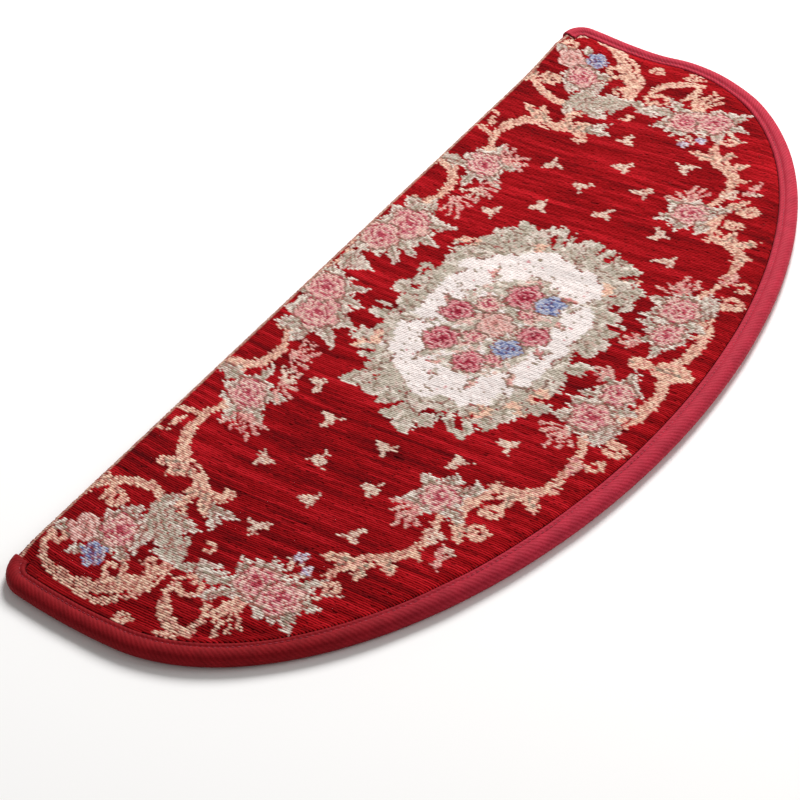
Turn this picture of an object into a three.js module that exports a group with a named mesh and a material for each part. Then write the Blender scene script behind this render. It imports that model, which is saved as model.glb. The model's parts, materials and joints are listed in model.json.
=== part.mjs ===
// Stair tread mat: a half-oval padded mat with a woven chenille face,
// and a sewn binding tape wrapped over its curved edge.
// Millimetres, +Z up. +X runs along the straight edge and +Y points towards it.
// The origin is on the floor, under the middle of the mat's box.

import * as THREE from 'three';

// Sizes of the outline
const HALF_WIDTH = 325;
const DEPTH = 280;
const FRONT_REACH = 190; // from the widest line to the middle of the curved edge
const CORNER_RADIUS = 18;
const INNER_CORNER_RADIUS = 6;

// How the mat lies: pulled a little out of square, one corner curling up, one margin sunk
const STRAIGHT_EDGE_SHIFT = 9;
const CORNER_LIFT = 5;
const CORNER_LIFT_REACH = 85;
const MARGIN_DIP = 1.6;
const MARGIN_DIP_INSET = 18;
const MARGIN_DIP_WIDTH = 8;
const MARGIN_DIP_START = 200;

// Binding tape
const SEWING_GAP = 0.38;
const TAPE_THICKNESS = 1;
const TAPE_ROOM = SEWING_GAP + TAPE_THICKNESS;
const LOWER_EDGE_SETBACK = 0.8;

// Steps along the outline
const CORNER_STEPS = 6;
const SIDE_STEPS = 6;
const FRONT_STEPS = 64;
const STRAIGHT_STEPS = 24;
const SECTION_CHANGE = 14; // length over which the bound section turns into the straight one

// Colours
const CHENILLE_RED = 0xa8121c;
const TAPE_CRIMSON = 0xc43a4e;

const STRAIGHT_Y = DEPTH / 2;
const WIDEST_Y = FRONT_REACH - DEPTH / 2;

// Section of the body from under the mat, round its edge, to the field on top. Each row is
// one ring: how far it lies inside the outline and how high, where the edge is bound and
// where it is the straight edge, which is turned down and has no tape.
const BODY_SECTION = [
  { name: 'underside', boundInset: 17, boundZ: 0, straightInset: 17, straightZ: 0 },
  { name: 'tape recess', boundInset: 15, boundZ: TAPE_ROOM, straightInset: 10, straightZ: 0 },
  { name: 'lower rim', boundInset: 4, boundZ: TAPE_ROOM, straightInset: 1.2, straightZ: 0 },
  { name: 'rim round', boundInset: 2.1, boundZ: 2.1, straightInset: 0.3, straightZ: 0.9 },
  { name: 'rim face', boundInset: TAPE_ROOM, boundZ: 4.2, straightInset: 0, straightZ: 3.2 },
  { name: 'rim shoulder', boundInset: 2.1, boundZ: 6.3, straightInset: 0.6, straightZ: 5.5 },
  { name: 'ridge start', boundInset: 3.9, boundZ: 7.4, straightInset: 2, straightZ: 7.2 },
  { name: 'ridge', boundInset: 6.4, boundZ: 7.7, straightInset: 4.4, straightZ: 8.3 },
  { name: 'ridge end', boundInset: 9.2, boundZ: 7.1, straightInset: 7.6, straightZ: 8.8 },
  { name: 'stitch line', boundInset: 11.6, boundZ: 6.1, straightInset: 11, straightZ: 9 },
  { name: 'pile start', boundInset: 13.4, boundZ: 6.1, straightInset: 13.4, straightZ: 9 },
  { name: 'pile shoulder', boundInset: 15.6, boundZ: 7.8, straightInset: 15.6, straightZ: 9 },
  { name: 'margin', boundInset: 20, boundZ: 8.7, straightInset: 20, straightZ: 9 },
  { name: 'field edge', boundInset: 32, boundZ: 9, straightInset: 32, straightZ: 9 },
];
const FIELD_SCALES = [0.7, 0.35]; // rings that fill the field, as shares of its edge
const FIELD_CENTRE = { x: 0, y: 5 };

// The tape follows these rows of the body's section
const TAPE_FIRST_ROW = 'tape recess';
const TAPE_LAST_ROW = 'stitch line';

function smooth(value) {
  const t = THREE.MathUtils.clamp(value, 0, 1);
  return t * t * (3 - 2 * t);
}

// One point of the outline moved inwards by inset. side is -1 on the left and 1 on the right.
function cornerPoint(side, turn, inset) {
  const radius = Math.max(CORNER_RADIUS - inset, INNER_CORNER_RADIUS);
  const centreX = HALF_WIDTH - inset - radius;
  const centreY = STRAIGHT_Y - inset - radius;
  const angle = (turn * Math.PI) / 2;
  return [side * (centreX + radius * Math.sin(angle)), centreY + radius * Math.cos(angle)];
}

function sidePoint(side, share, inset) {
  const [x, cornerY] = cornerPoint(side, 1, inset);
  return [x, THREE.MathUtils.lerp(cornerY, WIDEST_Y, share)];
}

// The curved edge is half an ellipse
function frontPoint(share, inset) {
  const angle = share * Math.PI;
  const x = -(HALF_WIDTH - inset) * Math.cos(angle);
  const y = WIDEST_Y - (FRONT_REACH - inset) * Math.sin(angle);
  return [x, y];
}

function straightPoint(share, inset) {
  const [x, y] = cornerPoint(1, 0, inset);
  return [THREE.MathUtils.lerp(x, -x, share), y];
}

// The stations round the mat: each gives its point at any inset, and how far its section
// is the bound one (1) or the straight one (0).
function curvedStations() {
  const stations = [];
  for (let i = 0; i < CORNER_STEPS; i += 1) {
    stations.push({ at: (inset) => cornerPoint(-1, i / CORNER_STEPS, inset), bound: 1 });
  }
  for (let i = 0; i < SIDE_STEPS; i += 1) {
    stations.push({ at: (inset) => sidePoint(-1, i / SIDE_STEPS, inset), bound: 1 });
  }
  for (let i = 0; i < FRONT_STEPS; i += 1) {
    stations.push({ at: (inset) => frontPoint(i / FRONT_STEPS, inset), bound: 1 });
  }
  for (let i = 0; i < SIDE_STEPS; i += 1) {
    stations.push({ at: (inset) => sidePoint(1, 1 - i / SIDE_STEPS, inset), bound: 1 });
  }
  for (let i = 0; i <= CORNER_STEPS; i += 1) {
    stations.push({ at: (inset) => cornerPoint(1, 1 - i / CORNER_STEPS, inset), bound: 1 });
  }
  return stations;
}

function straightStations() {
  const half = HALF_WIDTH - CORNER_RADIUS;
  const change = SECTION_CHANGE / (2 * half);
  const shares = [change / 2, change];
  for (let i = 1; i < STRAIGHT_STEPS; i += 1) {
    shares.push(THREE.MathUtils.lerp(change, 1 - change, i / STRAIGHT_STEPS));
  }
  shares.push(1 - change, 1 - change / 2);
  return shares.map((share) => ({
    at: (inset) => straightPoint(share, inset),
    bound: 1 - smooth(Math.min(share, 1 - share) / change),
  }));
}

// How the flat mat comes to lie: each point of the flat shape, as it is on the floor
function lay(x, y, z) {
  const back = THREE.MathUtils.clamp((y - WIDEST_Y) / (STRAIGHT_Y - WIDEST_Y), 0, 1);
  const towardsEnd = smooth((x - (HALF_WIDTH - CORNER_LIFT_REACH)) / CORNER_LIFT_REACH);
  const towardsEdge = smooth((y - (STRAIGHT_Y - CORNER_LIFT_REACH)) / CORNER_LIFT_REACH);
  return [x + STRAIGHT_EDGE_SHIFT * back * back, y, z + CORNER_LIFT * towardsEnd * towardsEdge];
}

// The sunk margin at the left end
function marginDip(x, inset) {
  const leftness = smooth((-x - MARGIN_DIP_START) / (HALF_WIDTH - MARGIN_DIP_START));
  return MARGIN_DIP * leftness * Math.exp(-(((inset - MARGIN_DIP_INSET) / MARGIN_DIP_WIDTH) ** 2));
}

// A mesh of rings that all have the same number of points, each joined to the next. A fan
// closes a ring to a middle point.
class RingMesh {
  constructor() {
    this.points = [];
    this.triangles = [];
  }

  addRing(points) {
    const start = this.points.length / 3;
    points.forEach((point) => this.points.push(...point));
    return { start, count: points.length };
  }

  joinRings(low, high, closed) {
    const steps = closed ? low.count : low.count - 1;
    for (let i = 0; i < steps; i += 1) {
      const next = (i + 1) % low.count;
      this.triangles.push(low.start + i, low.start + next, high.start + next);
      this.triangles.push(low.start + i, high.start + next, high.start + i);
    }
  }

  joinFan(ring, centre, facingUp) {
    for (let i = 0; i < ring.count; i += 1) {
      const here = ring.start + i;
      const next = ring.start + ((i + 1) % ring.count);
      this.triangles.push(...(facingUp ? [here, next, centre.start] : [next, here, centre.start]));
    }
  }

  geometry() {
    const geometry = new THREE.BufferGeometry();
    geometry.setAttribute('position', new THREE.Float32BufferAttribute(this.points, 3));
    geometry.setIndex(this.triangles);
    geometry.computeVertexNormals();
    return geometry;
  }
}

function bodyRing(stations, row) {
  return stations.map((station) => {
    const inset = THREE.MathUtils.lerp(row.straightInset, row.boundInset, station.bound);
    const height = THREE.MathUtils.lerp(row.straightZ, row.boundZ, station.bound);
    const [x, y] = station.at(inset);
    const onTop = height > BODY_SECTION[1].boundZ;
    return lay(x, y, onTop ? height - marginDip(x, inset) : height);
  });
}

function scaledRing(stations, row, scale, height) {
  return stations.map((station) => {
    const [x, y] = station.at(row.boundInset);
    const fieldX = THREE.MathUtils.lerp(FIELD_CENTRE.x, x, scale);
    const fieldY = THREE.MathUtils.lerp(FIELD_CENTRE.y, y, scale);
    return lay(fieldX, fieldY, height);
  });
}

function bodyGeometry() {
  const stations = [...curvedStations(), ...straightStations()];
  const underside = BODY_SECTION[0];
  const field = BODY_SECTION[BODY_SECTION.length - 1];
  const mesh = new RingMesh();
  const bottomCentre = mesh.addRing([lay(FIELD_CENTRE.x, FIELD_CENTRE.y, underside.boundZ)]);
  const topCentre = mesh.addRing([lay(FIELD_CENTRE.x, FIELD_CENTRE.y, field.boundZ)]);
  const bottomScales = [...FIELD_SCALES].reverse();
  const rings = [
    ...bottomScales.map((scale) => scaledRing(stations, underside, scale, underside.boundZ)),
    ...BODY_SECTION.map((row) => bodyRing(stations, row)),
    ...FIELD_SCALES.map((scale) => scaledRing(stations, field, scale, field.boundZ)),
  ].map((points) => mesh.addRing(points));
  mesh.joinFan(rings[0], bottomCentre, false);
  for (let i = 1; i < rings.length; i += 1) {
    mesh.joinRings(rings[i - 1], rings[i], true);
  }
  mesh.joinFan(rings[rings.length - 1], topCentre, true);
  return mesh.geometry();
}

// The rows of the bound section, moved out of the body by distance at right angles to it
function offsetSection(rows, distance) {
  return rows.map((row, index) => {
    const before = rows[Math.max(index - 1, 0)];
    const after = rows[Math.min(index + 1, rows.length - 1)];
    const alongInset = after.boundInset - before.boundInset;
    const alongZ = after.boundZ - before.boundZ;
    const length = Math.hypot(alongInset, alongZ);
    return {
      inset: row.boundInset - (distance * alongZ) / length,
      z: row.boundZ + (distance * alongInset) / length,
    };
  });
}

function tapeSection() {
  const first = BODY_SECTION.findIndex((row) => row.name === TAPE_FIRST_ROW);
  const last = BODY_SECTION.findIndex((row) => row.name === TAPE_LAST_ROW);
  const rows = BODY_SECTION.slice(first, last + 1);
  const lowerEdge = { ...rows[0], boundInset: rows[0].boundInset - LOWER_EDGE_SETBACK };
  const bodySide = [lowerEdge, ...rows.slice(1)];
  const inner = offsetSection(bodySide, SEWING_GAP);
  const outer = offsetSection(bodySide, TAPE_ROOM);
  return [...outer, ...inner.reverse()];
}

function bindingGeometry() {
  const stations = curvedStations();
  const mesh = new RingMesh();
  const rings = tapeSection().map(({ inset, z }) => mesh.addRing(stations.map((station) => {
    const [x, y] = station.at(inset);
    return lay(x, y, Math.max(z, 0));
  })));
  rings.forEach((ring, index) => {
    mesh.joinRings(ring, rings[(index + 1) % rings.length], false);
  });
  const half = rings.length / 2;
  const lastStation = stations.length - 1;
  for (let i = 0; i < half - 1; i += 1) {
    const [outerHere, outerNext] = [rings[i], rings[i + 1]];
    const [innerHere, innerNext] = [rings[rings.length - 1 - i], rings[rings.length - 2 - i]];
    const corners = [outerHere, outerNext, innerNext, innerHere];
    const [a, b, c, d] = corners.map((ring) => ring.start);
    mesh.triangles.push(a, b, c, a, c, d);
    const [e, f, g, h] = corners.map((ring) => ring.start + lastStation);
    mesh.triangles.push(f, e, h, f, h, g);
  }
  return mesh.geometry();
}

function namedMesh(name, geometry, color) {
  const material = new THREE.MeshStandardMaterial({ color, roughness: 0.95, metalness: 0 });
  const mesh = new THREE.Mesh(geometry, material);
  mesh.name = name;
  return mesh;
}

const mat = new THREE.Group();
mat.add(namedMesh('mat_body', bodyGeometry(), CHENILLE_RED));
mat.add(namedMesh('edge_binding', bindingGeometry(), TAPE_CRIMSON));

// The box's middle goes over the origin
const box = new THREE.Box3().setFromObject(mat);
mat.position.set(-(box.min.x + box.max.x) / 2, -(box.min.y + box.max.y) / 2, -box.min.z);

export default mat;
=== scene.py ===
import json
import math
from collections import namedtuple

import bpy
import numpy as np
from bpy.props import FloatProperty, FloatVectorProperty, PointerProperty
from mathutils import Matrix, Vector

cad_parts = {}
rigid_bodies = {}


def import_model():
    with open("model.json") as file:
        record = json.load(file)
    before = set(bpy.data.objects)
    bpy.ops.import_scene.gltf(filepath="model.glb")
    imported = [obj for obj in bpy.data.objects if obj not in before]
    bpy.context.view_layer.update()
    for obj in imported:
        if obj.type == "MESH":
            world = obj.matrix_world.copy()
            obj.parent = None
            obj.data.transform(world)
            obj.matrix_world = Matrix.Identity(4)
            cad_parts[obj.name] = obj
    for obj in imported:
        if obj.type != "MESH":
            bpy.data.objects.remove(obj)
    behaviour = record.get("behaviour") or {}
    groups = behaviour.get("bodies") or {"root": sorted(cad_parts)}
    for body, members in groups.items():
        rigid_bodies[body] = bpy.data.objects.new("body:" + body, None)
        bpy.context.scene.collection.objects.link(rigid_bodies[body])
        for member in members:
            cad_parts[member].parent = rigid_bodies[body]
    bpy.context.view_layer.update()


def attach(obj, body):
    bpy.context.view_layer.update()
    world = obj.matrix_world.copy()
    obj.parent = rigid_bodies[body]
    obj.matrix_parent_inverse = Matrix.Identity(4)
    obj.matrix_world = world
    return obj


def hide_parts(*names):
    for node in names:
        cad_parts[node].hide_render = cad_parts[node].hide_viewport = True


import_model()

bl_info = {
    "name": "Stair Tread Mat",
    "version": (1, 0, 0),
    "blender": (4, 5, 0),
    "location": "View3D > Sidebar > Stair Mat",
    "description": "Half-oval chenille stair tread mat with a woven flower pattern and a sewn binding tape",
    "category": "Add Mesh",
}

MM = 0.001

# Outline of the flat mat in mm, as in the part's source
HALF_WIDTH = 325.0
STRAIGHT_Y = 140.0
WIDEST_Y = 50.0
FRONT_REACH = 190.0
CORNER_RADIUS = 18.0
INNER_CORNER_RADIUS = 6.0
SECTION_CHANGE = 14.0

# How the mat lies in mm, as in the part's source
STRAIGHT_EDGE_SHIFT = 9.0
CORNER_LIFT = 5.0
CORNER_LIFT_REACH = 85.0
MARGIN_DIP = 1.6
MARGIN_DIP_INSET = 18.0
MARGIN_DIP_WIDTH = 8.0
MARGIN_DIP_START = 200.0
MIDDLE_SHIFT = -2.958

# Chenille weft rows
PILE_START_INSET = 12.6
BEND_INSET = 13.4
FULL_ROW_REACH = 306.0
LAST_ROW_REACH = 312.3
ROW_BANDS = 4

# Camera
CAMERA_PLACE = (-0.83343, -0.53663, 0.77047)
CAMERA_RIGHT = (0.54122, -0.83653, -0.08545)
CAMERA_DOWN = (-0.57121, -0.29117, -0.76742)
CAMERA_FORWARD = (0.61709, 0.46415, -0.63542)
CAMERA_LENS = 92.11

# Section of the mat under its pile, from under the mat over its rim to the field, in mm: inset and
# height where the edge is bound, then the same where it isn't.
GROUND_SECTION = np.array((
    (17, 0, 17, 0), (15, 1.38, 10, 0), (4, 1.38, 2.0, 0), (2.1, 2.1, 1.1, 1.0), (1.38, 4.2, 0.8, 3.2),
    (2.1, 6.3, 1.3, 5.2), (3.9, 7.4, 2.5, 6.6), (6.4, 7.7, 4.7, 7.6), (9.2, 7.1, 7.8, 8.1),
    (11.6, 6.0, 11, 8.3), (13.4, 6.5, 13.4, 8.3), (15.6, 7.5, 15.6, 8.3), (20, 8.0, 20, 8.3),
    (32, 8.3, 32, 8.3),
), float)

# A weft row's path over the straight edge, in mm, with the same columns; the bound ones hold where the
# tape begins.
ROW_BEND = np.array((
    (13.4, 7.9, 13.4, 9.0), (11.6, 6.1, 11.0, 9.0), (9.2, 7.1, 7.6, 8.8), (6.4, 7.7, 4.4, 8.3),
    (3.9, 7.4, 2.0, 7.2), (2.1, 6.3, 0.6, 5.5), (1.4, 4.2, 0.1, 3.2), (2.1, 2.1, 0.5, 1.0),
))
FIELD_INSETS = (12.0, 13.4, 15.6, 20.0, 32.0)
FIELD_HEIGHTS = (7.7, 7.9, 8.4, 8.8, 9.0)

# Section of the binding tape in mm, inset and height: its outer face from the lower edge under the mat
# round the side and over the ridge to the stitch groove and the lip, then its inner face back.
TAPE_OUTSIDE = (
    (14.4, 0.0), (9.0, 0.0), (4.6, 0.05), (2.6, 0.35), (1.1, 1.2), (0.35, 2.6), (0.0, 4.2), (0.2, 5.8),
    (0.9, 7.1), (2.0, 8.1), (3.6, 8.8), (5.3, 9.1), (6.9, 9.0), (8.0, 8.6), (8.7, 7.95), (9.3, 7.9),
    (9.9, 8.3), (10.8, 8.45), (11.7, 8.15), (12.25, 7.5), (12.2, 6.9),
)
TAPE_INSIDE = (
    (11.6, 6.5), (9.3, 7.48), (6.4, 8.1), (3.7, 7.8), (1.75, 6.55), (1.0, 4.2), (1.85, 1.8), (4.0, 1.0),
    (14.3, 1.0),
)
TAPE_SECTION = np.array(TAPE_OUTSIDE + TAPE_INSIDE)


def linear(code):
    """An sRGB hex colour as linear parts: c / 12.92 under 0.04045, else ((c + 0.055) / 1.055) ** 2.4."""
    return tuple(to_linear(srgb_parts(code)))


def srgb_parts(code):
    return np.array([int(code[k:k + 2], 16) / 255.0 for k in (0, 2, 4)])


def to_linear(parts):
    return np.where(parts <= 0.04045, parts / 12.92, ((parts + 0.055) / 1.055) ** 2.4)


def smooth(value):
    t = np.clip(value, 0, 1)
    return t * t * (3 - 2 * t)


def lay(x, y, z):
    """How the flat mat lies: the straight edge is pulled along by a square law, one corner curls up."""
    back = np.clip((y - WIDEST_Y) / (STRAIGHT_Y - WIDEST_Y), 0, 1)
    towards_end = smooth((x - (HALF_WIDTH - CORNER_LIFT_REACH)) / CORNER_LIFT_REACH)
    towards_edge = smooth((y - (STRAIGHT_Y - CORNER_LIFT_REACH)) / CORNER_LIFT_REACH)
    lift = CORNER_LIFT * towards_end * towards_edge
    return np.stack((x + STRAIGHT_EDGE_SHIFT * back ** 2 + MIDDLE_SHIFT, y + 0 * x, z + lift), -1)


def margin_dip(x, inset):
    """The sunk margin at the left end: a bell across the margin that grows to the left."""
    leftness = smooth((-x - MARGIN_DIP_START) / (HALF_WIDTH - MARGIN_DIP_START))
    return MARGIN_DIP * leftness * np.exp(-(((inset - MARGIN_DIP_INSET) / MARGIN_DIP_WIDTH) ** 2))


CORNER, SIDE, FRONT, STRAIGHT = range(4)


def outline_spots(corner, side, front, straight):
    """Stations round the outline: the part each is on, its share of it, its side, how far it is bound."""
    half = HALF_WIDTH - CORNER_RADIUS
    change = SECTION_CHANGE / (2 * half)
    runs = (
        (CORNER, -1, np.linspace(0, 1, corner, endpoint=False)),
        (SIDE, -1, np.linspace(0, 1, side, endpoint=False)),
        (FRONT, 0, np.linspace(0, 1, front, endpoint=False)),
        (SIDE, 1, 1 - np.linspace(0, 1, side, endpoint=False)),
        (CORNER, 1, 1 - np.linspace(0, 1, corner + 1)),
        (STRAIGHT, 0, np.linspace(0, 1, straight + 2)[1:-1]),
    )
    part = np.concatenate([np.full(len(share), kind) for kind, _, share in runs])
    end = np.concatenate([np.full(len(share), way) for _, way, share in runs])
    share = np.concatenate([share for _, _, share in runs])
    edge = np.minimum(share, 1 - share)
    bound = np.where(part == STRAIGHT, 1 - smooth(edge / change), 1.0)
    return part, end, share, bound


def outline(spots, inset):
    """The outline moved inwards: corner arcs, straight sides, half an ellipse in front, a straight edge."""
    part, end, share = spots[:3]
    radius = np.maximum(CORNER_RADIUS - inset, INNER_CORNER_RADIUS)
    middle_x = HALF_WIDTH - inset - radius
    middle_y = STRAIGHT_Y - inset - radius
    turn = share * np.pi / 2
    xs = (
        end * (middle_x + radius * np.sin(turn)),
        end * (HALF_WIDTH - inset),
        -(HALF_WIDTH - inset) * np.cos(share * np.pi),
        middle_x * (1 - 2 * share),
    )
    ys = (
        middle_y + radius * np.cos(turn),
        middle_y + (WIDEST_Y - middle_y) * share,
        WIDEST_Y - (FRONT_REACH - inset) * np.sin(share * np.pi),
        STRAIGHT_Y - inset,
    )
    here = [np.broadcast_to(part == k, inset.shape) for k in range(4)]
    return np.select(here, [x + 0 * inset for x in xs]), np.select(here, [y + 0 * inset for y in ys])


def inset_of(x, y):
    """How far inside the outline a point is: from the sides, in front by Newton's steps on the ellipse."""
    out = np.abs(x)
    reach = WIDEST_Y - y
    inset = np.minimum(HALF_WIDTH - out, np.where(reach > 0, FRONT_REACH - reach, 1e9))
    inset = np.clip(inset, 0, 120)
    for _ in range(8):
        a, b = HALF_WIDTH - inset, FRONT_REACH - inset
        value = (out / a) ** 2 + (reach / b) ** 2 - 1
        slope = 2 * out ** 2 / a ** 3 + 2 * reach ** 2 / b ** 3
        inset = np.clip(inset - value / np.maximum(slope, 1e-9), 0, 150)
    return np.where(reach > 0, inset, HALF_WIDTH - out)


def mesh_piece(name, points, faces, material, smooth_faces=True):
    """A mesh from whole arrays: points in mm become metres, faces have four corners, or three and a -1."""
    mesh = bpy.data.meshes.new(name)
    sizes = np.where(faces[:, 3] < 0, 3, 4)
    starts = np.concatenate(([0], np.cumsum(sizes)[:-1]))
    corners = faces.ravel()
    corners = corners[corners >= 0]
    mesh.vertices.add(len(points))
    mesh.vertices.foreach_set("co", (points * MM).astype(np.float32).ravel())
    mesh.loops.add(len(corners))
    mesh.loops.foreach_set("vertex_index", corners.astype(np.int32))
    mesh.polygons.add(len(sizes))
    mesh.polygons.foreach_set("loop_start", starts.astype(np.int32))
    mesh.update(calc_edges=True)
    mesh.polygons.foreach_set("use_smooth", np.full(len(sizes), smooth_faces))
    if mesh.validate():
        raise RuntimeError(name + ": the mesh had faults")
    mesh.materials.append(material)
    piece = add_object(name, mesh)
    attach(piece, "root")
    return piece


def run_along(line):
    """The way walked along a line of points, up to each of them."""
    return np.concatenate(([0], np.cumsum(np.hypot(*np.diff(line, axis=0).T))))


def add_object(name, data):
    made = bpy.data.objects.new(name, data)
    bpy.context.scene.collection.objects.link(made)
    return made


def ring_faces(rings, count, closed=True):
    """Faces between rings of points: each point joined to its next and to the same two on the next ring."""
    ring, spot = np.meshgrid(np.arange(rings - 1), np.arange(count if closed else count - 1), indexing="ij")
    here = (ring * count + spot).ravel()
    after = (ring * count + (spot + 1) % count).ravel()
    return np.stack((here, after, after + count, here + count), 1)


def yarn_faces(spot, counts, wide):
    """Faces of closed yarns, from each section's place in its yarn: round the yarn and over both ends."""
    side, spoke = np.arange(wide), np.arange(1, wide - 1)
    after = (side + 1) % wide
    here = np.flatnonzero(spot < counts - 1)[:, None] * wide
    round_it = np.stack((here + side, here + after, here + after + wide, here + side + wide), 2)
    first = np.flatnonzero(spot == 0)[:, None] * wide + 0 * spoke
    last = np.flatnonzero(spot == counts - 1)[:, None] * wide + 0 * spoke
    first_end = np.stack((first + spoke + 1, first + spoke, first, 0 * first - 1), 2)
    last_end = np.stack((last, last + spoke, last + spoke + 1, 0 * last - 1), 2)
    return np.concatenate([part.reshape(-1, 4) for part in (round_it, first_end, last_end)])


def fan_faces(start, count, middle, upward):
    """Triangles from a ring to its middle point."""
    here = start + np.arange(count)
    after = start + (np.arange(count) + 1) % count
    ends = (here, after) if upward else (after, here)
    return np.stack((*ends, np.full(count, middle), np.full(count, -1)), 1)


def paint_points(mesh, name, colours):
    """Colours for the points of a mesh, as linear parts with a full alpha."""
    layer = mesh.color_attributes.new(name, "FLOAT_COLOR", "POINT")
    full = np.column_stack((colours, np.ones(len(colours))))
    layer.data.foreach_set("color", full.astype(np.float32).ravel())


def map_corners(mesh, name, places):
    """A UV map from one place for each point."""
    layer = mesh.uv_layers.new(name=name)
    corners = np.empty(len(mesh.loops), np.int32)
    mesh.loops.foreach_get("vertex_index", corners)
    layer.data.foreach_set("uv", places[corners].astype(np.float32).ravel())


def add_node(tree, kind, settings):
    """Adds a shader node: settings are its properties and sockets by name or number. A socket or a node,
    which stands for its first output, is linked, anything else is set."""
    node = tree.nodes.new("ShaderNode" + kind)
    for key, value in settings.items():
        if isinstance(value, bpy.types.Node):
            value = value.outputs[0]
        if isinstance(value, bpy.types.NodeSocket):
            tree.links.new(value, node.inputs[key])
        elif isinstance(key, str) and hasattr(node, key):
            setattr(node, key, value)
        else:
            node.inputs[key].default_value = value
    return node


def new_material(name):
    material = bpy.data.materials.new(name)
    material.use_nodes = True
    material.node_tree.nodes.clear()
    return material, material.node_tree


# Settings of a node that multiplies two colours
MULTIPLY = {"data_type": "RGBA", "blend_type": "MULTIPLY", 0: 1.0}


def close_material(tree, colour, shade, height, bump, settings):
    """What each finish ends in: colour times shade, and a bump from height by its strength and distance."""
    coloured = add_node(tree, "Mix", {**MULTIPLY, 6: colour, 7: shade})
    raised = add_node(tree, "Bump", {"Strength": bump[0], "Distance": bump[1], "Height": height})
    shader = add_node(tree, "BsdfPrincipled", {"Base Color": coloured.outputs[2], "Normal": raised, **settings})
    add_node(tree, "OutputMaterial", {"Surface": shader})


def scatter(i, j, seed):
    """An even spread from 0 to 1: whole numbers i and j are multiplied, mixed and cut to 24 bits."""
    n = (np.int64(374761393) * i + np.int64(668265263) * j + np.int64(1013904223) * (seed + 1)) & 0xFFFFFFFF
    n = ((n ^ (n >> 13)) * np.int64(1274126177)) & 0xFFFFFFFF
    n = ((n ^ (n >> 15)) * np.int64(2246822519)) & 0xFFFFFFFF
    return ((n ^ (n >> 16)) & 0xFFFFFF) / 16777216.0


def drift(u, v, seed):
    """Soft noise from 0 to 1: the scatter of the four whole corners round (u, v), mixed by smooth shares."""
    iu, iv = np.floor(u).astype(np.int64), np.floor(v).astype(np.int64)
    fu, fv = u - iu, v - iv
    fu, fv = fu * fu * (3 - 2 * fu), fv * fv * (3 - 2 * fv)
    low = scatter(iu, iv, seed) * (1 - fu) + scatter(iu + 1, iv, seed) * fu
    high = scatter(iu, iv + 1, seed) * (1 - fu) + scatter(iu + 1, iv + 1, seed) * fu
    return low * (1 - fv) + high * fv


# Yarn mixes: each chenille shade is a heather of a few yarns, with the percent of stations each one takes.
MIXES = {
    "scroll": ("F3CCB2 F8DCC4 DAAA92 C2766C EEA99D", (40, 23, 17, 8, 12)),
    "scroll_vein": ("CA927E BA776E E0BAA4", (55, 25, 20)),
    "scroll_rim": ("FADABF F0AC9F DEAD98", (60, 25, 15)),
    "leaf": ("D8CBBE C2B6A8 E6DBCF B8908A DFC2B8", (36, 23, 24, 7, 10)),
    "leaf_dark": ("C3BAAA ADA492 D6CBBD CFA99E", (38, 22, 28, 12)),
    "fold": ("DDBEA9 C59A86 B4766A", (44, 30, 26)), "leaf_rim": ("F0E6DA DCD0C2", (76, 24)),
    "leaf_rib": ("988C78 AA8E80", (60, 40)), "shadow": ("8A6E60 A8504E A8917F", (48, 22, 30)),
    "rose_light": ("EBC8BC E4ADA9 E8D0C0", (50, 26, 24)),
    "rose_mid": ("DE949B CE7682 E4B3A7", (50, 26, 24)), "rose_deep": ("C25463 A3394A", (60, 40)),
    "cream_light": ("EDCDC2 E6B8B1", (60, 40)), "cream_mid": ("E4AFA5 D99892", (60, 40)),
    "cream_deep": ("BF7A74 AD9484", (60, 40)), "red_light": ("E2A5A5 D6878E E8C6C0", (50, 32, 18)),
    "red_mid": ("C45B6B B84657 D69293", (56, 30, 14)), "red_deep": ("A02A3E 861C2F", (62, 38)),
    "blue_light": ("BCC0D2 A2ACCA DAD2D2", (50, 28, 22)),
    "blue_mid": ("8E9AC2 7383B2 B8B6C8", (58, 30, 12)), "blue_deep": ("56649A 7E4756", (58, 42)),
    "lilac_light": ("E4DCE0 CFC6D6", (70, 30)), "lilac_mid": ("C2BCD4 D8C8D0", (60, 40)),
    "lilac_deep": ("8E90BC A87C8C", (60, 40)), "field": ("F8EDE9 ECDEDA FDF6F3", (62, 24, 14)),
    "sprig": ("F0DCC9 DABCA8 E8CFC2 B06C64", (54, 22, 16, 8)),
    "spray": ("E5A49C EAC9B8 CC7478", (40, 38, 22)),
}

Scroll = namedtuple("Scroll", "points widths")
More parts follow.
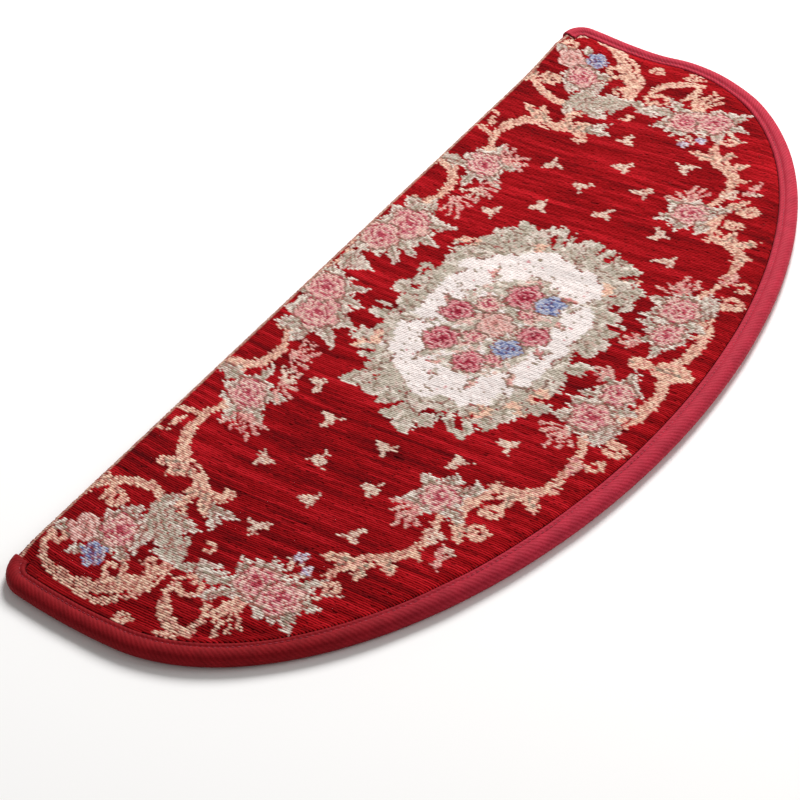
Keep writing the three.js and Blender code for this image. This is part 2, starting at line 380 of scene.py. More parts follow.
# Scrolls in mm: points out from the middle line and back, and the widths along them.
SCROLLS = [Scroll(*row) for row in (
    (((292, 133), (303, 127), (308, 117), (308, 103), (305, 90), (300, 80), (291, 69), (280, 60),
      (265, 56)), (4, 5, 6, 8, 10, 15, 17, 13, 7)),
    (((252, 139), (241, 129), (232, 115), (228, 101), (232, 89)), (7, 7, 7, 6)),
    (((299, 16), (296, 29), (290, 38), (279, 44), (266, 43), (261, 35)), (5, 8, 7, 5, 4, 4)),
    (((299, 18), (291, 16), (283, 17), (275, 21)), (4, 5, 3)),
    (((207, 62), (210, 74), (203, 86), (201, 99), (192, 110), (177, 116), (161, 114), (150, 107)),
     (7, 10, 10, 8, 6, 4)),
    (((118, 140), (126, 130), (116, 119), (103, 112), (88, 112), (76, 119)), (8, 8, 8, 6, 5)),
    (((234, -25), (222, -29), (213, -37), (206, -48), (195, -55), (180, -57), (162, -53)),
     (3, 8, 10, 8, 6, 4)),
    (((170, -67), (156, -63), (143, -65), (134, -74), (131, -85), (121, -95), (104, -98), (86, -97),
      (74, -92)), (6, 9, 10, 9, 7, 5, 5)),
    (((73, -112), (67, -103), (57, -101), (44, -109), (28, -113), (12, -110), (0, -105)),
     (5, 9, 14, 11, 7, 7, 9)),
    (((0, 128), (10, 133), (24, 139)), (7, 4, 3)),
)]

Curl = namedtuple("Curl", "x y radius start turns width")
# Curls: the spiral ends of scrolls; start is the angle of the outer end in degrees, turns are signed.
CURLS = [Curl(*row) for row in (
    (288, 125, 7, 150, -0.9, 4.5), (249, 117, 7, 100, 1.0, 4.5), (284, 83, 5, 330, 0.7, 3),
    (266, 66, 5, 300, 0.7, 3.5), (304, 53, 5, 120, -0.7, 4), (269, 34, 8, 60, -0.8, 3.6),
    (240, -33, 5.5, 100, 0.9, 3.6), (169, -79, 6.5, 100, 1.0, 4.5), (151, -78, 5.5, 60, 1.0, 4),
    (153, 108, 5, 60, 0.8, 3.5), (75, 124, 6, 250, -0.8, 4), (91, -110, 6, 60, -0.7, 3),
    (74, -113, 7, 60, -0.8, 4), (231, 80, 6, 200, 0.8, 4), (242, 45, 5, 150, 0.6, 3),
)]

Leaf = namedtuple("Leaf", "x y turn length width lobes mix")
# Leaves: foot in mm, the way it points in degrees from straight out, length, width, lobes a side.
LEAVES = [Leaf(*row) for row in (
    (250, 132, 168, 16, 9, 2, "scroll"), (246, 136, 20, 18, 8, 2, "scroll"),
    (240, 122, 8, 16, 7, 2, "scroll"), (234, 94, -58, 54, 28, 3, "leaf_dark"),
    (240, 88, -16, 32, 16, 2, "leaf"), (232, 92, -140, 18, 10, 2, "leaf"),
    (236, 76, -100, 20, 12, 2, "leaf"), (262, 50, -120, 26, 11, 2, "leaf"),
    (264, 105, 197, 24, 14, 1.5, "leaf"), (286, 108, 30, 12, 8, 2, "leaf"),
    (280, 122, 70, 16, 9, 2, "leaf"), (272, 90, -60, 15, 9, 2, "leaf"), (297, 78, 138, 16, 5, 1, "scroll"),
    (289, 68, 142, 20, 6, 1, "scroll"), (278, 62, 150, 13, 5, 1, "scroll"),
    (212, 66, -40, 24, 10, 3, "leaf"), (214, 62, -85, 20, 8, 2, "leaf"), (206, 80, 5, 22, 10, 3, "scroll"),
    (202, 92, 40, 20, 10, 3, "scroll"), (202, 100, 62, 22, 9, 3, "scroll"),
    (207, 74, -35, 20, 9, 2, "scroll"), (200, 66, -75, 12, 7, 2, "scroll"),
    (186, 130, 200, 14, 5, 2, "scroll"), (166, 118, 75, 20, 6, 2, "scroll"),
    (192, 136, 250, 12, 4, 1, "scroll"), (128, 116, 100, 26, 15, 3, "leaf"),
    (150, 100, 10, 16, 10, 2, "leaf"), (142, 92, -50, 16, 10, 2, "leaf"),
    (128, 93, -110, 15, 10, 2, "leaf"), (122, 104, 175, 16, 8, 2, "leaf"),
    (116, 122, 60, 16, 7, 2, "scroll"), (64, 112, 60, 24, 14, 3, "leaf"), (68, 108, 10, 18, 10, 2, "leaf"),
    (60, 102, -60, 24, 10, 2, "leaf"), (46, 102, -85, 22, 10, 2, "leaf"),
    (36, 110, -105, 24, 10, 3, "leaf"), (28, 112, -130, 22, 9, 2, "leaf"),
    (42, 128, 110, 18, 10, 2, "leaf"), (24, 128, 165, 16, 8, 2, "leaf"), (0, 134, -90, 30, 19, 2, "leaf"),
    (0, 128, -20, 14, 8, 2, "leaf"), (258, 18, 95, 24, 12, 3, "leaf"), (262, 14, 45, 20, 9, 2, "leaf"),
    (246, 12, 120, 16, 8, 2, "leaf"), (264, 6, 14, 20, 7, 2, "scroll"), (264, -20, -40, 18, 10, 3, "leaf"),
    (256, -22, -95, 16, 9, 2, "leaf"), (246, -18, -140, 16, 7, 2, "leaf"), (243, 6, 178, 12, 7, 1, "leaf"),
    (252, -24, -120, 22, 3, 1, "sprig"), (216, -32, 80, 20, 9, 3, "scroll"),
    (214, -38, -5, 16, 9, 3, "scroll"), (207, -46, -45, 16, 8, 2, "scroll"),
    (196, -54, -60, 12, 6, 2, "scroll"), (158, -38, 70, 13, 8, 2, "leaf"),
    (146, -38, 130, 14, 9, 2, "leaf"), (142, -46, 178, 12, 8, 2, "leaf"),
    (146, -54, -130, 15, 9, 2, "leaf"), (160, -56, -70, 14, 9, 2, "leaf"),
    (166, -64, -35, 18, 9, 3, "scroll"), (144, -62, 160, 13, 9, 2, "leaf"),
    (136, -70, 178, 10, 7, 2, "scroll"), (133, -80, -15, 14, 8, 3, "scroll"),
    (130, -88, -45, 16, 9, 3, "scroll"), (122, -94, -100, 10, 6, 2, "scroll"),
    (184, -68, -15, 22, 6, 2, "spray"), (186, -70, -70, 10, 5, 1, "sprig"), (66, -84, 30, 14, 8, 2, "leaf"),
    (60, -78, 85, 15, 9, 2, "leaf"), (46, -80, 100, 14, 8, 2, "leaf"), (36, -82, 80, 14, 8, 2, "leaf"),
    (24, -84, 130, 14, 8, 2, "leaf"), (22, -92, 178, 16, 8, 2, "leaf"), (66, -94, -20, 14, 8, 2, "leaf"),
    (62, -96, -95, 14, 10, 2, "leaf"), (46, -96, -100, 14, 10, 2, "leaf"), (70, -95, -60, 12, 6, 1, "leaf"),
    (0, -82, -90, 17, 17, 1, "scroll"), (0, -98, -90, 27, 20, 2, "scroll"),
    (48, -94, -18, 30, 15, 3, "leaf"),
)]

Rose = namedtuple("Rose", "x y radius shade")
# Roses and blue flowers: middles and radii in mm.
ROSES = [Rose(*row) for row in (
    (276, 117, 10.5, "cream"), (264, 98, 11.5, "rose"), (286, 99, 8.5, "blue"), (252, 5, 12, "rose"),
    (257, -13, 12, "rose"), (136, 104, 12.5, "rose"), (53, 112, 15, "rose"), (31, 122, 13, "rose"),
    (152, -46, 11, "rose"), (56, -87, 12, "rose"), (31, -91, 10, "rose"), (225, -5, 3.8, "lilac"),
    (233, -14, 3.4, "lilac"),
)]

Spray = namedtuple("Spray", "x y turn spread length count mix")
# Sprays: fans of thin florets; foot in mm, middle way and spread in degrees, length in mm.
SPRAYS = [Spray(*row) for row in (
    (146, 92, -25, 110, 18, 6, "spray"), (113, 95, 200, 100, 13, 4, "sprig"),
    (92, 104, -115, 110, 18, 6, "spray"), (166, -42, 35, 120, 15, 6, "spray"),
    (72, -82, 30, 120, 15, 6, "spray"), (18, -80, 95, 100, 10, 4, "spray"),
    (266, 2, 5, 56, 24, 5, "scroll"), (302, 24, 10, 120, 9, 4, "scroll"),
    (237, -3, 190, 40, 11, 2, "sprig"), (239, -9, 230, 30, 9, 2, "sprig"),
    (180, -66, 70, 60, 9, 3, "sprig"), (98, -104, 80, 100, 8, 3, "spray"),
    (112, 93, -60, 60, 16, 3, "spray"),
)]

Sprig = namedtuple("Sprig", "x y turn")
# Sprigs strewn on the plain ground: middle in mm, the way they point in degrees.
SPRIGS = [Sprig(*row) for row in (
    (170, 62, 200), (98, 70, 30), (120, 44, 60), (151, 32, 10), (214, 33, 290), (186, 17, 150),
    (131, 3, 170), (160, -9, 30), (200, -18, 250), (122, -41, 80), (100, -58, 160),
)]


class Chart:
    """The weaver's chart: the yarn colour at each station of the weft, painted motif over motif.

    A station's kind is 0 on the ground, 1 in the border, 2 on the cream field, 3 in medallion motifs."""

    def __init__(self, x, y, rows, stations):
        self.x, self.y, self.rows, self.stations = x, y, rows, stations
        self.colour = np.zeros((len(x), 3))
        self.kind = np.zeros(len(x), np.int32)
        self.draw = scatter(rows, stations, 11)
        pull_x = drift(x / 2.6, y / 2.6, 5) - 0.5
        pull_y = drift(x / 2.6, y / 2.6, 6) - 0.5
        # Each row carries its colours a little to and fro, so that edges across the rows are ragged.
        slip = scatter(rows, np.floor(y / 8.0).astype(np.int64), 7) - 0.5
        self.u, self.v = x + 1.3 * pull_x, y + 1.3 * pull_y + 0.8 * slip + 14 * slip ** 3

    def near(self, x, y, reach):
        """The stations near a point, and how far each is from it across and back."""
        at = np.flatnonzero((np.abs(self.u - x) < reach) & (np.abs(self.v - y) < reach))
        return at, self.u[at] - x, self.v[at] - y

    def work(self, at, mix, kind=1):
        """Gives the stations a mix's yarns: each station's draw falls in one yarn's share of the whole."""
        if not len(at):
            return
        codes, percent = MIXES[mix]
        shares = np.array(percent) / 100
        which = np.searchsorted(np.cumsum(shares)[:-1], self.draw[at])
        yarns = np.array([srgb_parts(code) for code in codes.split()])
        mean = (yarns * shares[:, None]).sum(0)
        self.colour[at] = mean + 0.72 * (yarns[which] - mean)
        self.kind[at] = kind


def smooth_line(points, each=9):
    """A smooth line through the points: each span is the Catmull-Rom cubic of its four neighbours."""
    p = np.array(points, float)
    p = np.vstack((2 * p[0] - p[1], p, 2 * p[-1] - p[-2]))
    t = np.linspace(0, 1, each, endpoint=False)[:, None, None]
    a, b, c, d = p[:-3], p[1:-2], p[2:-1], p[3:]
    square, cube = 2 * a - 5 * b + 4 * c - d, 3 * b - a - 3 * c + d
    line = 0.5 * (2 * b + (c - a) * t + square * t ** 2 + cube * t ** 3)
    return np.vstack((line.transpose(1, 0, 2).reshape(-1, 2), p[-2]))


def beside(chart, line, reach):
    """For the stations near a line: their numbers, the share along it, and the signed distance beside it."""
    low, high = line.min(0) - reach, line.max(0) + reach
    at = np.flatnonzero((chart.u > low[0]) & (chart.u < high[0]) & (chart.v > low[1]) & (chart.v < high[1]))
    start, step = line[:-1], np.diff(line, axis=0)
    size = np.maximum((step ** 2).sum(1), 1e-9)
    off = np.stack((chart.u[at], chart.v[at]), 1)[:, None] - start
    share = np.clip((off * step).sum(2) / size, 0, 1)
    gap = off - share[..., None] * step
    far = np.hypot(gap[..., 0], gap[..., 1])
    best = far.argmin(1)
    pick = np.arange(len(at)), best
    side = np.sign(step[best, 0] * gap[pick][:, 1] - step[best, 1] * gap[pick][:, 0])
    return at, (best + share[pick]) / len(step), far[pick] * side


def work_scroll(chart, line, widths, mix="scroll"):
    """A scroll: the stations nearer to the line than half its width there, with rims of another mix."""
    at, along, off = beside(chart, line, max(widths))
    half = 0.5 * np.interp(along, np.linspace(0, 1, len(widths)), widths)
    half = half * (1 + 0.07 * np.sin(along * 40))
    inside = np.abs(off) < half
    chart.work(at[inside], mix)
    rim = inside & (off > half - 1.7) & (half > 2.6)
    chart.work(at[rim], "scroll_rim")
    vein = inside & (np.abs(off + 0.25 * half) < 0.9) & (half > 2.6) & (np.sin(along * 55) > -0.2)
    chart.work(at[vein], "scroll_vein")
    # A wide scroll is parted in strands by a broken line of the ground.
    parted = inside & (np.abs(off - 0.36 * half) < 0.8) & (half > 4.8) & (np.sin(along * 19 + 1) > -0.6)
    chart.kind[at[parted]] = 0


def work_curl(chart, curl):
    """A curl: a spiral whose radius shrinks as it turns, ending in a small knob."""
    t = np.linspace(0, 1, 22)
    turn = np.radians(curl.start) + t * curl.turns * 2 * np.pi
    radius = curl.radius * (1 - 0.62 * t)
    line = np.stack((curl.x + radius * np.cos(turn), curl.y + radius * np.sin(turn)), 1)
    work_scroll(chart, line, (curl.width, curl.width, curl.width * 1.1))


def work_leaf(chart, leaf, flip=1, round_lobes=False):
    """A lobed leaf: its half width is a sine hump times teeth that lean to the tip, or times round lobes."""
    turn = np.radians(leaf.turn)
    at, dx, dy = chart.near(leaf.x, leaf.y, leaf.length + leaf.width)
    along = (dx * np.cos(turn) + dy * np.sin(turn)) / leaf.length
    off = -dx * np.sin(turn) + dy * np.cos(turn)
    off = off - flip * 0.16 * leaf.length * along * (1 - along)
    s = np.clip(along, 0, 1)
    if round_lobes:
        hump = np.sin(np.pi * s ** 0.8) ** 0.55
        half = 0.5 * leaf.width * hump * (0.74 + 0.26 * np.abs(np.cos(np.pi * leaf.lobes * s)))
    else:
        hump = np.sin(np.pi * s ** 0.75) ** 0.8
        half = 0.5 * leaf.width * hump * (1.12 - 0.5 * np.mod(leaf.lobes * s + 0.2, 1))
    within = (along > 0) & (along < 1)
    around = (along > 0.1) & (along < 1.05) & (off < half) & (off > -half - 1.5) & (chart.kind[at] > 0)
    chart.work(at[around], "shadow")
    inside = within & (np.abs(off) < half)
    chart.work(at[inside], leaf.mix)
    if leaf.mix == "leaf":
        chart.work(at[inside & (s < 0.45)], "leaf_dark")
    if leaf.width > 7:
        rim = inside & (off > half - 2.0) & (s > 0.15)
        chart.work(at[rim], "scroll_rim" if leaf.mix == "scroll" else "leaf_rim")
        rib = inside & (np.abs(off) < 0.8) & (s < 0.7)
        chart.work(at[rib], "leaf_rib")


def work_bed(chart, x, y, radius, spikes, turn):
    """The crown of leaves behind a flower: a disc whose radius runs up and down in slanting teeth."""
    at, dx, dy = chart.near(x, y, radius * 1.3)
    around = np.arctan2(dy, dx) / (2 * np.pi) * spikes + turn
    teeth = 0.78 + 0.42 * np.abs(np.mod(around, 1) - 0.45) * (1 + 0.4 * np.sin(np.floor(around) * 2.3))
    far = np.hypot(dx, dy) / radius
    chart.work(at[far < teeth], "leaf")
    chart.work(at[(far < teeth) & (far > teeth - 0.12)], "leaf_rim")


def work_flower(chart, x, y, radius, shade, turn=0.0):
    """A full flower: rings of petals whose lines lean round the middle like a spiral and fade outwards."""
    at, dx, dy = chart.near(x, y, radius * 1.4)
    angle = np.arctan2(dy, dx) + turn
    far = np.hypot(dx, dy) / radius
    edge = 1 + 0.10 * np.cos(5 * angle) + 0.05 * np.cos(8 * angle + 1)
    inside = far < edge
    chart.work(at[(far < edge + 1.6 / radius) & (chart.kind[at] > 0)], "shadow")
    ring = np.mod(far * (radius / 4.4) + angle / (2 * np.pi) + 0.14 * np.sin(5 * angle + far * 3), 1)
    fade = np.clip(1.25 - far, 0.25, 1)
    chart.work(at[inside], shade + "_light")
    chart.work(at[inside & (ring < 0.66 * fade + 0.06)], shade + "_mid")
    chart.work(at[inside & (ring < 0.30 * fade)], shade + "_deep")
    chart.work(at[far < 0.16], shade + "_deep")


def work_spray(chart, spray):
    """A spray: thin strokes fanned evenly over the spread, each with a knob at its tip."""
    for k in range(spray.count):
        turn = np.radians(spray.turn + spray.spread * (k / (spray.count - 1) - 0.5))
        size = spray.length * (0.8 + 0.35 * ((k * 7) % 3) / 2)
        tip = (spray.x + size * np.cos(turn), spray.y + size * np.sin(turn))
        middle = (spray.x + 0.5 * size * np.cos(turn + 0.25), spray.y + 0.5 * size * np.sin(turn + 0.25))
        line = smooth_line(((spray.x, spray.y), middle, tip), 4)
        work_scroll(chart, line, (1.8, 2.0, 3.4), spray.mix)


def work_sprig(chart, sprig):
    """A strewn sprig: two petals that spread like wings from a short bud, on a thin stem."""
    for lean, size, width in ((-42, 9.5, 6.4), (48, 8.5, 5.8), (0, 5.0, 5.0), (176, 6.0, 3.0)):
        turn = np.radians(sprig.turn + lean)
        tip = (sprig.x + size * np.cos(turn), sprig.y + size * np.sin(turn))
        line = np.array(((sprig.x, sprig.y), tip))
        work_scroll(chart, line, (2.6, width, 1.4), "sprig")


# The pattern's middle line, in mm across at distances back: the woven cloth was cut and sewn askew.
AXIS_Y = (-140, -85, -50, -15, 30, 60, 80, 104, 120, 140)
AXIS_X = (3, 2, 1, -1, -3.5, -3.5, 0, 6, 7, 8)

WREATH_MIDDLE = (-2.0, 8.0)
WREATH_REACH = (113.0, 76.0)
FIELD_MIDDLE = (-4.0, 7.0)
FIELD_REACH = (78.0, 54.0)

BOUQUET_MIDDLE = (-5.0, 5.0)
BOUQUET_REACH = (49.0, 33.0)

# The bouquet's flowers: middles and radii in mm
BOUQUET = [Rose(*row) for row in (
    (12, 20, 7.5, "rose"), (-20, 12, 6.5, "rose"), (-33, -10, 6, "rose"), (-4, 6, 11, "cream"),
    (14, -6, 6, "rose"), (-30, 30, 10.5, "red"), (-2, 35, 10, "red"), (28, 4, 11.5, "red"),
    (-42, 3, 9.5, "red"), (-4, -20, 9.5, "red"), (-21, -12, 9, "blue"), (27, -14, 9, "blue"),
)]


Notch = namedtuple("Notch", "x y turn length")
# Notches of the ground that run into the wreath from outside: start in mm, way in degrees, length in mm
NOTCHES = [Notch(*row) for row in (
    (-112, 34, -38, 26), (-108, -12, 8, 20), (-96, -24, 40, 14), (-66, 78, -70, 22), (48, 84, -55, 24),
    (92, 20, 205, 14), (104, 12, 190, 18), (108, -18, 170, 22), (78, -50, 120, 14), (-52, -62, 100, 14),
    (24, -66, 80, 12), (-22, 88, -80, 16),
)]

# The ovals are full ones: the powers of x and y add up with this exponent, where a plain ellipse has 2.
OVAL_POWER = 2.5


def oval_share(chart, middle, reach):
    """How far out in an oval each station lies, as a share of its reach, and its angle round the middle."""
    bx, by = (chart.u - middle[0]) / reach[0], (chart.v - middle[1]) / reach[1]
    return (np.abs(bx) ** OVAL_POWER + np.abs(by) ** OVAL_POWER) ** (1 / OVAL_POWER), np.arctan2(by, bx)


def oval_spot(middle, reach, spin, share):
    """A point at a share of an oval's reach, and the way out from it there in degrees."""
    across, back = (np.sign(part) * np.abs(part) ** (2 / OVAL_POWER) for part in (np.cos(spin), np.sin(spin)))
    x, y = middle[0] + reach[0] * share * across, middle[1] + reach[1] * share * back
    return x, y, np.degrees(np.arctan2(np.sin(spin) / reach[1], np.cos(spin) / reach[0]))


def work_medallion(chart):
    """The middle: an oval wreath of leaves round a cream field, with a bouquet on it."""
    far, angle = oval_share(chart, WREATH_MIDDLE, WREATH_REACH)
    ragged = 0.84 + 0.04 * np.sin(9 * angle + 1) + 0.14 * (drift(angle * 7, far * 2, 21) - 0.5)
    chart.work(np.flatnonzero(far < ragged), "leaf_dark")
    for ring, count, share, length in ((0, 29, 0.80, 22), (1, 25, 0.68, 23), (2, 19, 0.82, 15)):
        for k in range(count):
            spin = 2 * np.pi * (k + 0.5 * ring + 0.35 * np.sin(k * 2.4 + ring)) / count
            x, y, out = oval_spot(WREATH_MIDDLE, WREATH_REACH, spin, share + 0.035 * np.sin(k * 5.1))
            lean = (34, -30, 6, -62, 58, -10, 80)[(k + 2 * ring) % 7]
            size = length * (0.93 + 0.15 * np.sin(k * 3.3 + ring)) * (0.84 + 0.18 * np.cos(spin) ** 2)
            turn = (k + 3 * ring) % 7
            mix = "scroll" if turn == 4 else ("leaf_dark", "leaf")[turn in (1, 3, 6)]
            leaf = Leaf(x, y, out + lean, size, (17, 14, 16, 19)[k % 4], (1.5, 2)[k % 2], mix)
            work_leaf(chart, leaf, 1 - 2 * (k % 2), k % 5 > 1)
    gaps = (far > 0.74) & (drift(chart.u / 6.5, chart.v / 5.0, 24) > 0.88)
    chart.kind[gaps] = 0
    for notch in NOTCHES:
        foot, turn = np.array((notch.x, notch.y)), np.radians(notch.turn)
        tip = foot + notch.length * np.array((np.cos(turn), np.sin(turn)))
        at, along, off = beside(chart, np.array((foot, tip)), 3)
        chart.kind[at[np.abs(off) < 2.2 - 1.2 * along]] = 0
    far, angle = oval_share(chart, FIELD_MIDDLE, FIELD_REACH)
    edge = 1 + 0.04 * np.sin(7 * angle) + 0.14 * (drift(angle * 7 + 30, far * 2, 31) - 0.5)
    chart.work(np.flatnonzero(far < edge), "field", 2)
    for k in range(26):
        spin = 2 * np.pi * (k + 0.35 * np.sin(k * 3.1)) / 26
        x, y, out = oval_spot(FIELD_MIDDLE, FIELD_REACH, spin, 1.08)
        lean, length, width = (50, -44, 10, -66, 66)[k % 5], (10, 15, 12)[k % 3], (6, 9, 7)[k % 3]
        leaf = Leaf(x, y, out + 180 + lean, length, width, 2, "leaf")
        work_leaf(chart, leaf, 1 - 2 * (k % 2), k % 2 == 0)
    for k in range(30):
        spin = 2 * np.pi * k / 30 + 0.2 * np.sin(k * 4)
        x, y, out = oval_spot(BOUQUET_MIDDLE, BOUQUET_REACH, spin, 0.98 + 0.14 * np.sin(k * 3.7))
        lean, length, width = ((50, 10, 5), (-40, 13, 4), (100, 7, 6))[k % 3]
        work_leaf(chart, Leaf(x, y, out + lean, length, width, 2, "spray" if k % 3 == 1 else "leaf"))
    core = oval_share(chart, BOUQUET_MIDDLE, BOUQUET_REACH)[0]
    for size, seed, least, mix in ((3.0, 41, 0.34, "leaf_dark"), (3.0, 44, 0.66, "leaf_rim"),
                                   (3.4, 42, 0.74, "rose_light")):
        chart.work(np.flatnonzero((core < 1) & (drift(chart.u / size, chart.v / size, seed) > least)), mix)
    strewn = drift(chart.u / 1.9, chart.v / 2.6, 43)
    chart.work(np.flatnonzero((core > 1) & (core < 1.5) & (strewn > 0.88)), "leaf_rib")
    chart.work(np.flatnonzero((core > 1) & (core < 1.42) & (strewn < 0.07)), "red_light")
    for k, bloom in enumerate(BOUQUET):
        work_flower(chart, bloom.x, bloom.y, bloom.radius, bloom.shade, k * 0.9)


# The ground's red from its shaded to its raised pile
GROUND = ("560309", "9D0A12", "CC1D28")


# On the fold of the straight edge the pile parts and undyed ground threads show: a pale line, in mm back
FOLD_LINE = (136.0, 139.2)


def weave_pattern(x, y, rows, stations):
    """The whole chart, both sides alike: sprigs, medallion, scrolls, curls, leaves, sprays and flowers."""
    axis = np.interp(y, AXIS_Y, AXIS_X)
    chart = Chart(np.abs(x - axis), y, rows, stations)
    for sprig in SPRIGS:
        work_sprig(chart, sprig)
    middle = Chart(x, y, rows, stations)
    work_medallion(middle)
    on = middle.kind > 0
    chart.colour[on] = middle.colour[on]
    chart.kind[on] = np.where(middle.kind[on] == 2, 2, 3)
    for scroll in SCROLLS:
        work_scroll(chart, smooth_line(scroll.points), scroll.widths)
    for curl in CURLS:
        work_curl(chart, curl)
    for k, rose in enumerate(ROSES):
        if rose.shade == "rose":
            work_bed(chart, rose.x, rose.y, rose.radius * 1.55, 9, k * 0.37)
    for k, leaf in enumerate(LEAVES):
        work_leaf(chart, leaf, 1 - 2 * (k % 2))
    for spray in SPRAYS:
        work_spray(chart, spray)
    for k, rose in enumerate(ROSES):
        work_flower(chart, rose.x, rose.y, rose.radius, rose.shade, k * 1.3)
    chart.work((y > FOLD_LINE[0]) & (y < FOLD_LINE[1]), "fold", 1)
    return chart


def weft_rows(pitch):
    """Where each weft row lies: its x, its first y, and its length on its path."""
    count = int(LAST_ROW_REACH / pitch)
    x = np.arange(-count, count + 1) * pitch
    out = np.abs(x)
    reach, half = FRONT_REACH - PILE_START_INSET, HALF_WIDTH - PILE_START_INSET
    first = WIDEST_Y - reach * np.sqrt(1 - (x / half) ** 2)
    bend_length = run_along(ROW_BEND[:, 2:])[-1]
    centre_x = HALF_WIDTH - PILE_START_INSET - INNER_CORNER_RADIUS
    centre_y = STRAIGHT_Y - PILE_START_INSET - INNER_CORNER_RADIUS
    arc = np.sqrt(np.maximum(INNER_CORNER_RADIUS ** 2 - np.maximum(out - centre_x, 0) ** 2, 0))
    full = STRAIGHT_Y - BEND_INSET - first + bend_length
    length = np.where(out < FULL_ROW_REACH, full, centre_y + arc - first)
    return x, first, length


def row_path(x, travel, first):
    """The path of a weft row: level along the field, then down over the straight edge."""
    along = run_along(ROW_BEND[:, 2:])
    flat_end = STRAIGHT_Y - BEND_INSET - first
    share = np.interp(travel - flat_end, along, np.arange(len(along)))
    bound = smooth((np.abs(x) - (HALF_WIDTH - CORNER_RADIUS - SECTION_CHANGE)) / SECTION_CHANGE)
    bend = [np.interp(share, np.arange(len(along)), column) for column in ROW_BEND.T]
    bend_inset = bend[2] + (bend[0] - bend[2]) * bound
    bend_z = bend[3] + (bend[1] - bend[3]) * bound
    y = np.where(travel > flat_end, STRAIGHT_Y - bend_inset, first + travel)
    inset = inset_of(x, y)
    near_z = np.interp(STRAIGHT_Y - y, FIELD_INSETS, FIELD_HEIGHTS)
    behind_z = FIELD_HEIGHTS[-1] + (near_z - FIELD_HEIGHTS[-1]) * bound
    field_z = np.minimum(np.interp(inset, FIELD_INSETS, FIELD_HEIGHTS), behind_z)
    # The rows don't dip at their ends under the tape, nor along the straight edge.
    dip = margin_dip(x, inset) * smooth((inset - PILE_START_INSET) / 5.0) * smooth((STRAIGHT_Y - y - 10) / 12)
    return y, np.where(travel > flat_end, bend_z, field_z) - dip


FloatLook = namedtuple("FloatLook", "shade dip")


def weft_floats(x, y, row, station, kind):
    """How light each station's pile is and where it is bound down: in long floats, in motifs short ones."""
    length = np.where(kind == 0, 17.0, np.where(kind == 2, 12.0, 4.0))
    place = station / length + 31 * scatter(row, row * 0 + 3, 51) + 0.9 * drift(row / 1.7, station / 9.0, 52)
    part = np.floor(place).astype(np.int64)
    bound = (place - part) * length < 1.0
    own = 0.7 * scatter(row, part, 53) + 0.3 * scatter(row, station, 56)
    wide = drift(x / 3.4, y / 34.0, 54)
    broad = drift(x / 46.0, y / 58.0, 55)
    shade = 0.40 * own + 0.42 * wide + 0.18 * broad
    return FloatLook(shade, bound)


def station_colours(chart, look, x, y):
    """Linear colours of the stations: the ground's red by its floats, the motifs' yarns so too, softer."""
    ground = chart.kind == 0
    dark, middle, light = (to_linear(srgb_parts(code)) for code in GROUND)
    low = np.clip((look.shade - 0.10) / 0.40, 0, 1)[:, None]
    high = np.clip((look.shade - 0.5) / 0.34, 0, 1)[:, None]
    red = dark + (middle - dark) * low + (light - middle) * high
    depth = np.where(chart.kind == 2, 0.42, 0.32) * (look.shade - 0.5)
    # In the border the ground's red shows where the motif yarns are bound down, and at an eighth of the
    # stations besides; round the mat's left end at more of them, and more strongly, which adds painted shade
    # to the motifs there.
    left = smooth((-x - 130) / 130)
    strays = scatter(chart.rows, chart.stations, 57) < 0.12 + 0.10 * left
    border = 0.34 * look.dip + (0.30 + 0.22 * left) * strays
    bleed = np.where(chart.kind == 1, border, np.where(chart.kind == 3, 0.10 * look.dip, 0.0))
    motif = to_linear(chart.colour) * (1 + depth)[:, None]
    motif = motif + (middle - motif) * bleed[:, None]
    colour = np.where(ground[:, None], red, motif)
    # Painted shade: where the warp binds a yarn down into a dip, its colour is darkened, the ground's most.
    sunk = np.where(ground, 0.66, 0.92)
    # The pile is darker towards both ends of the field, and most at the far left, where this is painted shade
    # for the dimmer light there.
    ends = smooth((np.abs(x) - 160) / 60) * smooth((inset_of(x, y) - 25) / 20)
    far = smooth((-x - 250) / 50)
    end_darkening_and_left_shade = 1 - np.where(ground, 0.12 * ends + 0.19 * far, 0.09 * far)
    return colour * (np.where(look.dip, sunk, 1.0) * end_darkening_and_left_shade)[:, None]


# Half round of a chenille yarn in mm: beside its row and above its path
YARN_SECTION = ((-0.80, -0.24), (-0.48, 0.03), (0.0, 0.14), (0.48, 0.03), (0.80, -0.24))


def colour_setting(name, description, code):
    return FloatVectorProperty(
        name=name, description=description, default=linear(code), min=0, max=1, size=3, subtype="COLOR")


def length_setting(name, description, default, low, high):
    return FloatProperty(
        name=name, description=description, default=default, min=low, max=high, unit="LENGTH", precision=5)


# Rows and stations are as coarse as they need to be to show.
YARN_PITCH = 0.00145


class MatSettings(bpy.types.PropertyGroup):
    row_pitch: length_setting(
        "Row pitch", "Distance from one chenille weft row to the next", YARN_PITCH, 0.001, 0.004)
    station_step: length_setting(
        "Station step", "Length of weft that holds one colour", YARN_PITCH, 0.001, 0.004)
    pile_lift: FloatProperty(
        name="Pile height", description="How proud the chenille stands of its path, as a share of its round",
        default=1.0, min=0.3, max=2.0, subtype="FACTOR")
    ground_colour: colour_setting("Ground cloth", "Colour of the cloth under the pile", "6E0A10")
    backing_colour: colour_setting("Backing", "Colour of the woven underside", "A99A86")


class TapeSettings(bpy.types.PropertyGroup):
    colour: colour_setting("Tape", "Colour of the binding tape", "9C1A2B")
    # The raised twill threads' lighter colour is a painted highlight, where they catch the light.
    raised_thread_highlight: colour_setting("Tape, raised", "Colour of the tape's raised threads", "B83044")
    thread_colour: colour_setting("Thread", "Colour of the sewing thread", "A4203A")
    stitch_pitch: length_setting("Stitch pitch", "Distance from one stitch to the next", 0.0032, 0.002, 0.01)


